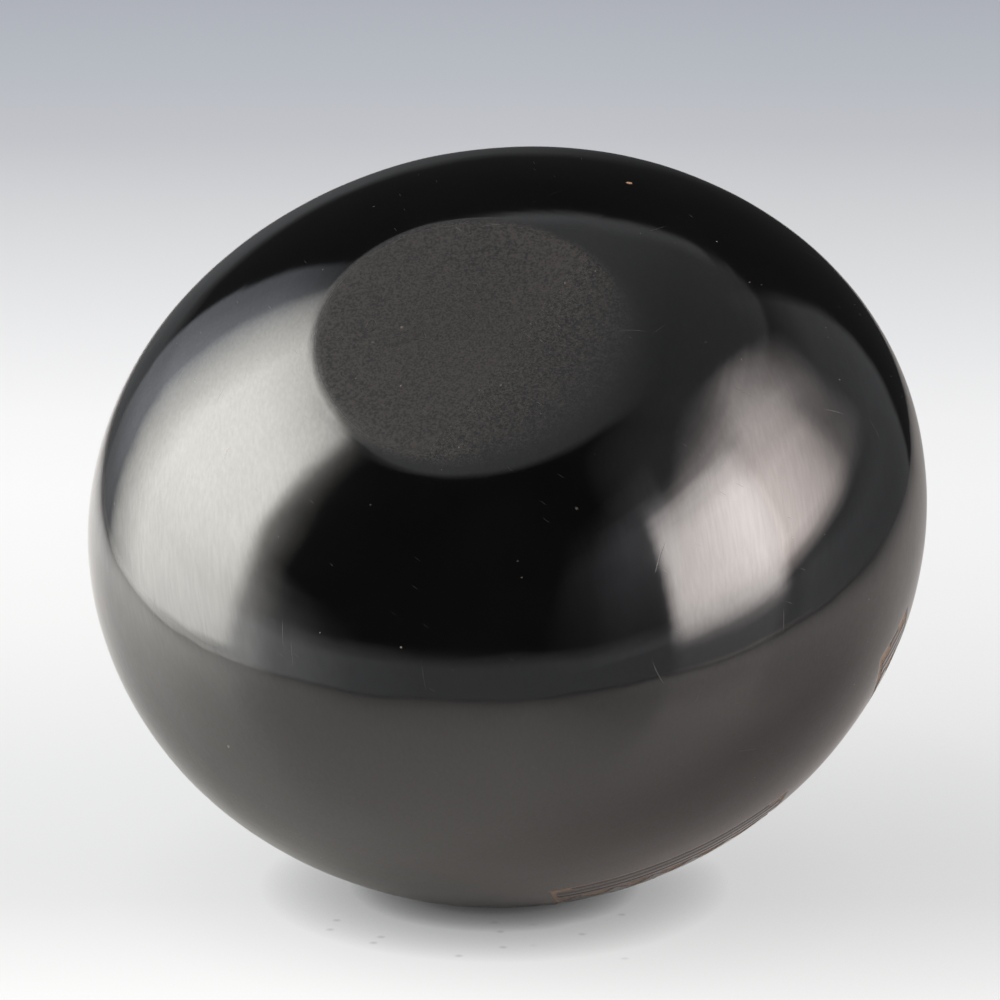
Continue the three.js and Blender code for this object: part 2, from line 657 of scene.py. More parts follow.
class InsideTree(SectionTree):
    """The inside of the wall and the floor, with the ripple that scraping leaves, and a calm lip."""

    stretch: Triple = (1.0, 1.0, 2.4)
    ripple_scale: float = 70.0
    lip_fade: Pair = (58 * MM, 48 * MM)

    def point(self, angle: Wire, around: Wire) -> Wire:
        """The point at two angles."""
        graph = self.graph
        point, facing = self.egg(angle, around, foot=False)
        flat = graph.vectors("MULTIPLY", graph.vectors("ADD", point, self.seed_shift), self.stretch)
        ripple = graph.noise(flat, self.ripple_scale, 2.0) - 0.5
        fade = graph.parts(point)[2].ramp(*self.lip_fade)
        return self.moved(point, facing, ripple * fade * self.size("Scraping"))


class LipTree(SectionTree):
    """The round of the lip, at an angle about the middle of its section."""

    def point(self, angle: Wire, around: Wire) -> Wire:
        """The point at two angles."""
        graph = self.graph
        cosine, sine = angle.cos(), angle.sin()
        turn_x, turn_y = around.cos(), around.sin()
        facing = graph.vector(cosine * turn_x, cosine * turn_y, sine)
        middle = self.size("Lip Middle")
        centre = graph.vector(middle * turn_x, middle * turn_y, self.size("Lip Height"))
        point = graph.vectors("ADD", centre, graph.along(facing, self.size("Lip Radius")))
        start, end = self.size("Lip Start"), self.size("Lip End")
        fade = ((end - angle) / (end - start)).least(1.0).most(0.0)
        return self.moved(point, facing, self.uneven(point) * fade)


@dataclass
class ClayTree:
    """Geometry Nodes that turn one clay piece: strips of its section swept round the axis and joined."""

    kind: Kind
    sections: dict[Stretch, SectionTree]
    slip: bpy.types.Material
    bare: bpy.types.Material
    sizes: dict[str, float]
    sockets: dict[str, str] = field(default_factory=dict)
    graph: Graph = field(init=False)
    source: bpy.types.Node = field(init=False)
    small_turn: float = 0.004
    same_place: float = 2e-6
    joint_corner: float = math.radians(58)
    lip_map: Pair = (0.98, 0.02)

    steps = ("Round Steps", "Outside Rows", "Inside Rows", "Joint Rows", "Lip Rows")
    ends = ("Outside Low", "Outside High", "Inside Low", "Inside High")

    def build(self) -> bpy.types.NodeTree:
        """Build the tree.

        Returns:
            The tree, whose inputs' identifiers are kept by name in sockets.
        """
        tree = bpy.data.node_groups.new(f"turned_{self.kind.name.lower()}", "GeometryNodeTree")
        for name in self.steps + self.ends + tuple(self.sizes):
            kind = "NodeSocketInt" if name in self.steps else "NodeSocketFloat"
            socket = tree.interface.new_socket(name=name, in_out="INPUT", socket_type=kind)
            self.sockets[name] = socket.identifier
        tree.interface.new_socket(name="Geometry", in_out="OUTPUT", socket_type="NodeSocketGeometry")
        graph = self.graph = Graph(tree)
        self.source = graph.node("NodeGroupInput")
        join = graph.node("GeometryNodeJoinGeometry")
        for stretch in reversed(self.kind.value):
            tree.links.new(self.strip(stretch).socket, join.inputs[0])
        joined = Wire(graph, join.outputs[0])
        near = {"Geometry": joined, "Distance": self.same_place}
        merged = graph.wire("GeometryNodeMergeByDistance", None, near)
        corner = graph.wire("GeometryNodeInputMeshEdgeAngle")
        sharp = graph.math("GREATER_THAN", corner, self.joint_corner)
        smooth = graph.wire(
            "GeometryNodeSetShadeSmooth",
            {"domain": "EDGE"},
            {"Geometry": merged, "Selection": sharp, "Shade Smooth": False},
        )
        real = graph.wire("GeometryNodeRealizeInstances", None, {"Geometry": smooth})
        slip = graph.wire("GeometryNodeSetMaterial", None, {"Geometry": real, "Material": self.slip})
        marks = {"data_type": "BOOLEAN"}
        scraped = graph.wire("GeometryNodeInputNamedAttribute", marks, {"Name": BARE_FACES})
        bare = {"Geometry": slip, "Selection": scraped, "Material": self.bare}
        graph.node("NodeGroupOutput", None, {0: graph.wire("GeometryNodeSetMaterial", None, bare)})
        return tree

    def size(self, name: str) -> Wire:
        """One of the tree's inputs."""
        return Wire(self.graph, self.source.outputs[name])

    def section_point(self, stretch: Stretch, angle: Wire, around: Wire) -> Wire:
        """A point of the outside, the inside or the lip."""
        section = self.sections[stretch]
        prefix = "Inside " if stretch is Stretch.INSIDE else "Outside "
        own = ("Radius", "Rise", "Lean")
        wires = {name: self.size(prefix + name if name in own else name) for name in section.inputs}
        return section.at(self.graph, wires, angle, around)

    def joint_point(self, end: str, share: Wire, around: Wire) -> Wire:
        """A point of a joint's face, a share of the way from the outside to the inside."""
        graph = self.graph
        start = self.section_point(Stretch.OUTSIDE, self.size(f"Outside {end}"), around)
        stop = self.section_point(Stretch.INSIDE, self.size(f"Inside {end}"), around)
        across = graph.vectors("SUBTRACT", stop, start)
        round_way = graph.vector(-around.sin(), around.cos(), 0.0)
        up = graph.vectors("NORMALIZE", graph.vectors("CROSS_PRODUCT", round_way, across))
        arch = (share * math.pi).sin() * self.size("Joint Crown")
        place = graph.vectors("ADD", start, graph.along(across, share))
        return graph.vectors("ADD", place, graph.along(up, arch))

    def strip(self, stretch: Stretch) -> Wire:
        """One stretch of the section swept round the axis.

        Args:
            stretch: Which part of the section.

        Returns:
            The strip's geometry, with its wall map, its normals and the mark of its clay.
        """
        graph = self.graph
        is_joint = stretch in (Stretch.TOP_JOINT, Stretch.LOW_JOINT)
        rows = "Joint Rows" if is_joint else f"{stretch.value.capitalize()} Rows"
        grid_sizes = {
            "Size X": 1.0,
            "Size Y": 1.0,
            "Vertices X": self.size("Round Steps") + 1.0,
            "Vertices Y": self.size(rows) + 1.0,
        }
        grid = graph.wire("GeometryNodeMeshGrid", None, grid_sizes)
        column, row, _ = graph.parts(graph.wire("GeometryNodeInputPosition"))
        around = (column + 0.5) * math.tau
        share = row + 0.5
        if is_joint:
            end = "High" if stretch is Stretch.TOP_JOINT else "Low"
            across = share if stretch is Stretch.TOP_JOINT else 1.0 - share
            place = self.joint_point(end, across, around)
            return self.placed(grid, place, bare=True)
        return self.skin(stretch, grid, around, share)

    def skin(self, stretch: Stretch, grid: Wire, around: Wire, share: Wire) -> Wire:
        """A strip of surface that shows.

        Args:
            stretch: Which part of the section.
            grid: The flat grid that is shaped.
            around: Angle round the axis.
            share: Share of the way along the stretch.

        Returns:
            The strip's geometry. Its normals are measured on the whole surface, past the strip's own
            edges, so that reflections run on unbroken from one piece to the next.
        """
        graph = self.graph
        ends = {
            Stretch.OUTSIDE: ("Outside Low", "Outside High"),
            Stretch.INSIDE: ("Inside High", "Inside Low"),
            Stretch.LIP: ("Lip Start", "Lip End"),
        }[stretch]
        first, last = self.size(ends[0]), self.size(ends[1])
        angle = first + (last - first) * share
        turn = self.small_turn
        step = -turn if stretch is Stretch.INSIDE else turn

        def between(low: tuple[Wire, Wire], high: tuple[Wire, Wire]) -> Wire:
            """The way from one point of the surface to another."""
            ends_of_way = (self.section_point(stretch, *place) for place in (high, low))
            return graph.vectors("SUBTRACT", *ends_of_way)

        level = angle.most(2 * turn - math.pi / 2)
        ahead = between((level, around - turn), (level, around + turn))
        above = between((level - step, around), (level + step, around))
        facing = graph.vectors("NORMALIZE", graph.vectors("CROSS_PRODUCT", ahead, above))
        height = (angle + math.pi / 2) * (1 / math.pi)
        if stretch is Stretch.LIP:
            height = share * self.lip_map[1] + self.lip_map[0]
        wall = graph.vector(around * (1 / math.tau), height, 0.0)
        mapped = graph.wire(
            "GeometryNodeStoreNamedAttribute",
            {"data_type": "FLOAT2", "domain": "CORNER"},
            {"Geometry": grid, "Name": WALL_MAP, "Value": wall},
        )
        faced = graph.wire(
            "GeometryNodeSetMeshNormal",
            {"mode": "FREE", "domain": "CORNER"},
            {"Mesh": mapped, "Custom Normal": facing},
        )
        return self.placed(faced, self.section_point(stretch, angle, around), stretch is Stretch.INSIDE)

    def placed(self, grid: Wire, place: Wire, bare: bool) -> Wire:
        """A grid put in its place, with its faces marked as bare clay or as slip."""
        shaped = self.graph.wire("GeometryNodeSetPosition", None, {"Geometry": grid, "Position": place})
        return self.graph.wire(
            "GeometryNodeStoreNamedAttribute",
            {"data_type": "BOOLEAN", "domain": "FACE"},
            {"Geometry": shaped, "Name": BARE_FACES, "Value": bare},
        )


@dataclass(frozen=True)
class Scratches:
    """Fine scratches that all run one way: stretched spots, of which a few are kept."""

    way: Triple
    across: float = 3600.0
    stretch: float = 70.0
    kept: float = 0.12
    full: float = 0.8
    radius: float = 0.1
    core: float = 0.4
    shift: Triple = (0.37, 0.81, 0.23)

    def axes(self) -> tuple[Vector, Vector, Vector]:
        """Two directions across the scratches, and the direction along them."""
        along = Vector(self.way).normalized()
        side = along.orthogonal().normalized()
        return side, along.cross(side), along

    def mask(self, graph: Graph, place: Wire) -> Wire:
        """1 in a scratch and 0 beside it."""
        side, depth, along = (graph.dot(place, way) for way in self.axes())
        lengthwise = self.across / self.stretch
        cells = graph.vector(side * self.across, depth * lengthwise, along * lengthwise)
        moved = graph.vectors("ADD", cells, self.shift)
        size = (self.radius, self.radius * self.core)
        drawn = (1 - self.kept, 1 - self.kept * self.full)
        return graph.spots(moved, 1.0, size, drawn)


@dataclass(frozen=True)
class BurnishedSlip:
    """Black slip rubbed to a gloss with a stone, and the tan clay where it is scratched away.

    Reliefs are in thousandths of a millimetre. Scales are those of noise, to a metre.
    """

    panels: ShoulderDesign
    black: Colour = (0.0007, 0.0007, 0.0009, 1.0)
    brown: Colour = (0.0020, 0.0018, 0.0017, 1.0)
    foot_brown: Colour = (0.0270, 0.0235, 0.0210, 1.0)
    tan: Colour = srgb(122, 104, 90)
    pale_tan: Colour = srgb(150, 130, 112)
    chip_tan: Colour = srgb(150, 112, 82)
    speck: Colour = srgb(128, 122, 116)
    dust: Colour = (0.11, 0.103, 0.096, 1.0)
    ior: float = 1.70
    gloss: float = 0.062
    coat_ior: float = 1.5
    coat_gloss: float = 0.05
    polish_way: Triple = (-0.72, -0.63, -0.28)
    stroke_way: Triple = (-0.069, 0.889, -0.453)
    scratch_sets: tuple[Scratches, ...] = (
        Scratches((0.3, -0.8, 0.5), kept=0.15),
        Scratches((-0.9, -0.3, 0.2), kept=0.08),
        Scratches((0.8, -0.5, -0.3), kept=0.08),
        Scratches((0.4, 0.9, 0.1), across=5200.0, stretch=30.0, kept=0.16),
    )
    chip: Triple = (-20.5 * MM, 21.9 * MM, 4.7 * MM)
    chip_size: Pair = (0.42 * MM, 0.26 * MM)
    chip_ragged: float = 0.4 * MM
    band_pitch: Pair = (1.6, 14.0)
    cloud_scale: float = 75.0
    facet_scale: float = 260.0
    fine_scale: float = 1500.0
    grain_scale: float = 4200.0
    stroke_scale: float = 3200.0
    stroke_stretch: float = 0.07
    speck_cells: float = 900.0
    speck_size: Pair = (0.11, 0.04)
    speck_drawn: Pair = (0.90, 0.98)
    speck_cluster_scale: float = 60.0
    speck_clusters: Pair = (0.48, 0.58)
    fleck_cells: float = 300.0
    fleck_size: Pair = (0.07, 0.02)
    fleck_drawn: Pair = (0.84, 0.94)
    speck_ragged: float = 0.1
    brown_clouds: Pair = (0.35, 0.75)
    tan_mottle: Pair = (0.3, 0.7)
    foot_mottle: Triple = (0.6, 2.0, 3.6)
    foot_level: float = 0.62
    foot_height: Pair = (0.34 * MM, 0.18 * MM)
    foot_end: Pair = (2 * MM, 1 * MM)
    rubbed_reach: Pair = (19 * MM, 11 * MM)
    rubbed_scale: float = 140.0
    rubbed_uneven: float = 5 * MM
    polished_reach: Pair = (4 * MM, 17 * MM)
    polished_share: float = 0.6
    scratch_dust: Pair = (0.3, 0.6)
    scratch_dull: float = 0.5
    speck_dull: float = 0.6
    dull_roughness: float = 0.75
    cloud_roughness: float = 0.03
    foot_roughness: float = 0.2
    polish: float = 0.66
    stroke_dip: float = 0.22
    stroke_span: Pair = (0.3, 0.7)
    foot_dip: float = 0.25
    relief_unit: float = 0.001 * MM
    band_relief: float = 16.0
    facet_relief: float = 12.0
    stroke_relief: float = 0.5
    scratch_relief: float = 2.0
    fine_relief: float = 0.6
    bared_relief: float = 30.0
    foot_relief: float = 0.9

    def material(self) -> bpy.types.Material:
        """Build the material."""
        made = bpy.data.materials.new("burnished_slip")
        graph = blank_graph(made)
        uv = graph.wire("ShaderNodeUVMap", {"uv_map": WALL_MAP})
        place = graph.wire("ShaderNodeTexCoord", None, None, "Object")
        column, row, _ = graph.parts(uv)
        around, angle = column * math.tau, row * math.pi - math.pi / 2
        scratched = self.panels.mask(around, angle)
        foot = self.matt_foot(graph, place)
        round_pitch, up_pitch = self.band_pitch
        bands = graph.vector(around.cos() * round_pitch, around.sin() * round_pitch, angle * up_pitch)
        band = graph.noise(bands, 1.0, 2.0, 0.5)
        stroke = self.strokes(graph, place)
        cloud = graph.noise(place, self.cloud_scale, 3.0, 0.55)
        facets = graph.noise(place, self.facet_scale, 1.0, 0.5)
        fine = graph.noise(place, self.fine_scale, 2.0, 0.6)
        grain = graph.noise(place, self.grain_scale, 1.0)
        specks = self.specks(graph, place, fine)
        scratches = self.scratch_sets[0].mask(graph, place)
        for scratch_set in self.scratch_sets[1:]:
            scratches = scratches.most(scratch_set.mask(graph, place))
        chip = self.chipped(graph, place, fine)
        bared = scratched.most(chip)

        slip_colour = graph.mix(cloud.ramp(*self.brown_clouds), self.black, self.brown)
        shares = self.foot_mottle
        mottle = (cloud - 0.5) * shares[0] + (fine - 0.5) * shares[1] + (grain - 0.5) * shares[2]
        matt = foot * (self.foot_level + mottle)
        slip_colour = graph.mix(matt, slip_colour, self.foot_brown)
        dusty = self.scratch_dust[0] + foot * self.scratch_dust[1]
        slip_colour = graph.mix(scratches * dusty, slip_colour, self.dust)
        slip_colour = graph.mix(specks, slip_colour, self.speck)
        clay_colour = graph.mix(fine.ramp(*self.tan_mottle), self.tan, self.pale_tan)
        clay_colour = graph.mix(chip, clay_colour, self.chip_tan)
        colour = graph.mix(bared, slip_colour, clay_colour)
        dull = bared.most(specks * self.speck_dull).most(scratches * self.scratch_dull)
        rough = self.gloss + cloud * self.cloud_roughness + foot * self.foot_roughness
        rough = rough + (self.dull_roughness - rough) * dull
        dips = stroke.ramp(*self.stroke_span) * self.stroke_dip
        polish = (self.polish - dips - foot * self.foot_dip) * (1.0 - dull)
        relief = band * self.band_relief + facets * self.facet_relief + stroke * self.stroke_relief
        relief = relief - scratches * self.scratch_relief
        relief = relief + fine * (self.fine_relief + bared * self.bared_relief + foot * self.foot_relief)
        height = {"Strength": 1.0, "Distance": self.relief_unit, "Height": relief}
        bump = graph.wire("ShaderNodeBump", None, height)
        finish = {
            "Base Color": colour,
            "Roughness": rough,
            "IOR": self.ior,
            "Coat Weight": polish,
            "Coat Roughness": self.coat_gloss,
            "Coat IOR": self.coat_ior,
            "Normal": bump,
        }
        graph.end(graph.wire("ShaderNodeBsdfPrincipled", None, finish))
        return made

    def matt_foot(self, graph: Graph, place: Wire) -> Wire:
        """Where the foot is left matt, fading out on the side that the polishing ran over."""
        across_x, across_y, height = graph.parts(place)
        from_axis = graph.math("SQRT", across_x * across_x + across_y * across_y)
        uneven = (graph.noise(place, self.rubbed_scale, 3.0, 0.6) - 0.5) * self.rubbed_uneven
        polished = graph.dot(place, self.polish_way).ramp(*self.polished_reach)
        clear = height.ramp(*self.foot_height)
        rubbed = (from_axis + uneven).ramp(*self.rubbed_reach)
        matt = (clear + (rubbed - clear) * polished) * height.ramp(*self.foot_end)
        return matt * (1.0 - polished * self.polished_share)

    def strokes(self, graph: Graph, place: Wire) -> Wire:
        """Fine marks of the polishing stone, drawn out along its strokes."""
        side, depth, along = (graph.dot(place, way) for way in Scratches(self.stroke_way).axes())
        drawn = graph.vector(side, depth, along * self.stroke_stretch)
        return graph.noise(drawn, self.stroke_scale, 2.0, 0.65)

    def specks(self, graph: Graph, place: Wire, fine: Wire) -> Wire:
        """Sparse pale specks of grit that the polishing left bare: fine ones in clusters, and flecks."""
        ragged = (fine - 0.5) * self.speck_ragged
        clusters = graph.noise(place, self.speck_cluster_scale, 1.0).ramp(*self.speck_clusters)
        specks = graph.spots(place, self.speck_cells, self.speck_size, self.speck_drawn, ragged)
        flecks = graph.spots(place, self.fleck_cells, self.fleck_size, self.fleck_drawn, ragged)
        return (specks * clusters).most(flecks)

    def chipped(self, graph: Graph, place: Wire, fine: Wire) -> Wire:
        """A small chip in the slip of the lower wall."""
        settings = {"operation": "DISTANCE"}
        away = graph.wire("ShaderNodeVectorMath", settings, {0: place, 1: self.chip}, "Value")
        return (away + (fine - 0.5) * self.chip_ragged).ramp(*self.chip_size)


@dataclass(frozen=True)
class ScrapedClay:
    """The unpolished clay of the inside, smoked black and scraped."""

    dark: Colour = (0.016, 0.014, 0.012, 1.0)
    grey: Colour = (0.045, 0.040, 0.035, 1.0)
    stretch: Triple = (1.0, 1.0, 5.0)
    scraped_scale: float = 160.0
    grain_scale: float = 1400.0
    grey_shares: Pair = (0.7, 0.3)
    grey_span: Pair = (0.35, 0.7)
    roughness: Pair = (0.62, 0.2)
    grain_relief: float = 0.35
    relief_depth: float = 0.25 * MM

    def material(self) -> bpy.types.Material:
        """Build the material."""
        made = bpy.data.materials.new("scraped_clay")
        graph = blank_graph(made)
        place = graph.wire("ShaderNodeTexCoord", None, None, "Object")
        flat = graph.vectors("MULTIPLY", place, self.stretch)
        scraped = graph.noise(flat, self.scraped_scale, 4.0, 0.6)
        grain = graph.noise(place, self.grain_scale, 2.0, 0.6)
        greyness = scraped * self.grey_shares[0] + grain * self.grey_shares[1]
        colour = graph.mix(greyness.ramp(*self.grey_span), self.dark, self.grey)
        rough = self.roughness[0] + scraped * self.roughness[1]
        relief = scraped + grain * self.grain_relief
        height = {"Strength": 0.5, "Distance": self.relief_depth, "Height": relief}
        bump = graph.wire("ShaderNodeBump", None, height)
        finish = {"Base Color": colour, "Roughness": rough, "Normal": bump}
        graph.end(graph.wire("ShaderNodeBsdfPrincipled", None, finish))
        return made


@dataclass
class CoilBowl:
    """The bowl: a pat, wall coils and a rim coil, each a closed solid of its own."""

    shape: VesselShape = field(default_factory=VesselShape)
    panels: ShoulderDesign = field(default_factory=ShoulderDesign)
    round_steps: int = 1080
    pat_rows: int = 58
    wall_rows: int = 14
    panel_rows: int = 38
    rim_rows: int = 16
    inside_rows: int = 10
    joint_rows: int = 3
    lip_rows: int = 14
    foot_blend: float = 0.7 * MM
    foot_dome: float = 0.16 * MM
    foot_shift: float = 0.09 * MM
    foot_lobes: float = 0.2 * MM
    unevenness: float = 0.55 * MM
    scraping: float = 0.5 * MM
    scratch_depth: float = 0.13 * MM

    def build(self) -> list[bpy.types.Object]:
        """Make every clay piece, from the foot up.

        Returns:
            The pieces, each riding on the body in place of its CAD node.
        """
        slip = BurnishedSlip(self.panels).material()
        bare = ScrapedClay().material()
        wall = ("Belly Height", "Radius", "Rise", "Lean")
        foot = ("Foot Radius", "Foot Dome", "Foot Blend", "Foot Shift", "Foot Lobes")
        skin = ("Unevenness", "Scratch Depth")
        lip = ("Lip Radius", "Lip Middle", "Lip Height", "Lip Start", "Lip End", "Unevenness")
        sections = {
            Stretch.OUTSIDE: OutsideTree("outside", wall + foot + skin, self.panels),
            Stretch.INSIDE: InsideTree("inside", wall + ("Scraping",), self.panels),
            Stretch.LIP: LipTree("lip", lip, self.panels),
        }
        trees = {kind: ClayTree(kind, sections, slip, bare, self.sizes()) for kind in Kind}
        groups = {kind: tree.build() for kind, tree in trees.items()}
        joints = self.shape.joints()
        outside, inside = self.shape.outside(), self.shape.inside()
        lows = [Joint(-math.pi / 2, inside.low)] + joints
        highs = joints + [Joint(outside.high, inside.high)]
        kinds = [Kind.PAT] + [Kind.COIL] * (len(joints) - 1) + [Kind.RIM]
        names = ["base_pat"] + [f"wall_coil_{n}" for n in range(1, len(joints))] + ["rim_coil"]
        pieces = []
        for name, kind, low, high in zip(names, kinds, lows, highs):
            inputs = self.sizes() | {
                "Round Steps": self.round_steps,
                "Outside Rows": self.rows(kind, high),
                "Inside Rows": self.inside_rows * (2 if kind is Kind.PAT else 1),
                "Joint Rows": self.joint_rows,
                "Lip Rows": self.lip_rows,
                "Outside Low": low.outside,
                "Outside High": high.outside,
                "Inside Low": low.inside,
                "Inside High": high.inside,
            }
            pieces.append(self.piece(name, groups[kind], trees[kind].sockets, inputs))
        return pieces

    def sizes(self) -> dict[str, float]:
        """The sizes that every clay piece shares, by the names of the trees' inputs."""
        outside, inside = self.shape.outside(), self.shape.inside()
        return {
            "Belly Height": self.shape.belly_height,
            "Outside Radius": outside.radius,
            "Outside Rise": outside.rise,
            "Outside Lean": outside.lean,
            "Inside Radius": inside.radius,
            "Inside Rise": inside.rise,
            "Inside Lean": inside.lean,
            "Lip Radius": self.shape.lip_radius,
            "Lip Middle": self.shape.lip_centre[0],
            "Lip Height": self.shape.lip_centre[1],
            "Lip Start": outside.facing(),
            "Lip End": inside.facing() + math.pi,
            "Joint Crown": self.shape.seam_crown,
            "Foot Radius": self.shape.foot_radius,
            "Foot Dome": self.foot_dome,
            "Foot Blend": self.foot_blend,
            "Foot Shift": self.foot_shift,
            "Foot Lobes": self.foot_lobes,
            "Unevenness": self.unevenness,
            "Scraping": self.scraping,
            "Scratch Depth": self.scratch_depth,
        }

    def rows(self, kind: Kind, high: Joint) -> int:
        """Rows up the outside of a piece: close together where the panels are scratched."""
        if kind is Kind.PAT:
            return self.pat_rows
        if kind is Kind.RIM:
            return self.rim_rows
        return self.panel_rows if high.outside > self.panels.lowest else self.wall_rows

    def piece(
        self,
        node: str,
        group: bpy.types.NodeTree,
        sockets: dict[str, str],
        inputs: dict[str, float],
    ) -> bpy.types.Object:
        """Make one clay piece.

        Args:
            node: The CAD node that it stands for.
            group: The tree that shapes it.
            sockets: Identifiers of the tree's inputs, by name.
            inputs: Values for them, by name.

        Returns:
            The piece as a plain mesh.
        """
        name = f"clay_{node}"
        piece = bpy.data.objects.new(name, bpy.data.meshes.new(f"{name}_blank"))
        bpy.context.collection.objects.link(piece)
        modifier = piece.modifiers.new("turned", "NODES")
        modifier.node_group = group
        for key, value in inputs.items():
            modifier[sockets[key]] = value
        depsgraph = bpy.context.evaluated_depsgraph_get()
        mesh = bpy.data.meshes.new_from_object(
            piece.evaluated_get(depsgraph), preserve_all_data_layers=True, depsgraph=depsgraph
        )
        piece.modifiers.clear()
        piece.data = mesh
        mesh.name = name
        mesh.attributes.remove(mesh.attributes[BARE_FACES])
        if mesh.materials[0] is None:
            mesh.materials.pop(index=0)
        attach(piece, BODY)
        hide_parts(node)
        triangles = sum(len(face.vertices) - 2 for face in mesh.polygons)
        log.info("%s: %d triangles", name, triangles)
        return piece


@dataclass(frozen=True)
class Studio:
    """The slant at which the bowl lies before the camera, and the axes of the table that it lies on.

    The studio's x is to the right of the picture, y is away from the camera, and z is up from the table.
    Its origin is on the table under the middle of the bowl's belly.
    """

    shape: VesselShape = field(default_factory=VesselShape)
    tilt: float = math.radians(42.01)
    roll: float = math.radians(12.64)
    look_down: float = math.radians(15.0)
    distance: float = 0.63
    lens: float = 212.5
    aside: Pair = (-0.66 * MM, 1.24 * MM)
    sink: float = 0.08 * MM

    def view_axes(self) -> Matrix:
        """Turns the picture's right, up and towards the camera into the bowl's frame."""
        turned = Matrix.Rotation(self.roll, 3, "Z") @ Matrix.Rotation(-self.tilt, 3, "X")
        return (turned @ Matrix.Rotation(math.pi, 3, "Y")).transposed()

    def axes(self) -> Matrix:
        """Turns the studio's directions into the bowl's frame."""
        return self.view_axes() @ Matrix.Rotation(self.look_down - math.pi / 2, 3, "X")

    def belly(self) -> Vector:
        """The middle of the bowl's belly, in the bowl's frame."""
        return Vector((0.0, 0.0, self.shape.belly_height))

    def lift(self) -> float:
        """Height of the middle of the belly over the table, with the bowl at rest on its shoulder."""
        down = -self.axes().col[2]
        sideways = math.hypot(down.x, down.y)
        points = self.shape.outside().measured()[1]
        reach = points[:, 0] * sideways + (points[:, 1] - self.shape.belly_height) * down.z
        return float(reach.max()) - self.sink

    def placing(self) -> Matrix:
        """Puts a thing made in the studio's axes into the bowl's frame."""
        axes = self.axes()
        origin = self.belly() - axes.col[2] * self.lift()
        return Matrix.Translation(origin) @ axes.to_4x4()

    def add_camera(self) -> bpy.types.Object:
        """Add the camera at the photograph's place."""
        data = bpy.data.cameras.new("camera")
        data.lens = self.lens
        data.sensor_width = 36.0
        data.clip_start = 0.01
        camera = bpy.data.objects.new("camera", data)
        bpy.context.collection.objects.link(camera)
        axes = self.view_axes()
        offset = axes @ Vector((self.aside[0], self.aside[1], self.distance))
        camera.matrix_world = Matrix.Translation(self.belly() + offset) @ axes.to_4x4()
        bpy.context.scene.camera = camera
        return camera


def stage_mesh(
    name: str,
    corners: list[Vector],
    maps: list[Pair],
    material: bpy.types.Material,
) -> bpy.types.Object:
    """Add a flat four-cornered sheet of the studio.

    Args:
        name: Its name.
        corners: Its corners in order, in the bowl's frame.
        maps: The corners' places in its map.
        material: Its finish.

    Returns:
        The sheet.
    """
    mesh = bpy.data.meshes.new(name)
    mesh.from_pydata([tuple(c) for c in corners], [], [(0, 1, 2, 3)])
    layer = mesh.uv_layers.new(name=CARD_MAP)
    for loop, place in zip(layer.data, maps):
        loop.uv = place
    mesh.materials.append(material)
    sheet = bpy.data.objects.new(name, mesh)
    bpy.context.collection.objects.link(sheet)
    return sheet


@dataclass(frozen=True)
class LightCard:
    """A soft light panel that stands upright round the table and faces the bowl.

    Its place is a distance from the middle and an angle from the camera's side, to the right. Its own
    sideways measure runs to the right as it is seen from outside, and its heights are over the table. Its
    brightness is given by stops, each a place and a share: over its left part, over its right part, and
    upwards. Its left side may lean all the way up, and its right side over a height, and its level lines
    may slope up to the right. It adds its light to what is behind it.
    """

    name: str
    azimuth: float
    distance: float
    left: tuple[Pair, ...]
    right: tuple[Pair, ...]
    upwards: tuple[Pair, ...]
    radiance: float
    colour: Colour
    lean: Pair = (0.0, 0.0)
    lean_height: float = 0.35
    slope: float = 0.0

    def material(self) -> bpy.types.Material:
        """Light that varies across the panel and fades out over its edges."""
        made = bpy.data.materials.new(self.name)
        graph = blank_graph(made)
        side, height, _ = graph.parts(graph.wire("ShaderNodeUVMap", {"uv_map": CARD_MAP}))
        over = height - self.lean_height
        share = self.profile(graph, side + over * self.lean[0], self.left)
        share = share * self.profile(graph, side + over.most(0.0) * self.lean[1], self.right)
        share = share * self.profile(graph, height - side * self.slope, self.upwards)
        colour = graph.mix(share, BLACK, self.colour)
        light = graph.wire("ShaderNodeEmission", None, {"Color": colour, "Strength": self.radiance})
        clear = graph.wire("ShaderNodeBsdfTransparent")
        graph.end(graph.wire("ShaderNodeAddShader", None, {0: light, 1: clear}))
        return made

    @staticmethod
    def profile(graph: Graph, place: Wire, levels: tuple[Pair, ...]) -> Wire:
        """Brightness along one way of the panel.

        Args:
            graph: The tree to add to.
            place: Place along it.
            levels: Places, in order, and the share of full brightness at each.

        Returns:
            The share at the place.
        """
        return graph.stops(place, tuple((at, (share, share, share, 1.0)) for at, share in levels))

    def ends(self) -> tuple[Pair, Pair]:
        """How far the panel reaches sideways and up, with room for its leaning sides."""
        low, high = self.upwards[0][0], self.upwards[-1][0]
        shifts = [(self.lean_height - height) * lean for height in (low, high) for lean in self.lean]
        left, right = self.left[0][0] + min(shifts), self.right[-1][0] + max(shifts)
        rises = [side * self.slope for side in (left, right)]
        return (left, right), (max(0.0, low + min(rises)), high + max(rises))

    def build(self, studio: Studio) -> bpy.types.Object:
        """Stand the panel up in the studio."""
        turn = math.radians(self.azimuth)
        out = Vector((math.sin(turn), -math.cos(turn), 0.0)) * self.distance
        side = Vector((math.cos(turn), math.sin(turn), 0.0))
        up = Vector((0.0, 0.0, 1.0))
        (left, right), (low, high) = self.ends()
        maps = [(left, low), (right, low), (right, high), (left, high)]
        placing = studio.placing()
        corners = [placing @ (out + side * place + up * height) for place, height in maps]
        card = stage_mesh(self.name, corners, maps, self.material())
        card.visible_camera = False
        card.visible_shadow = False
        return card


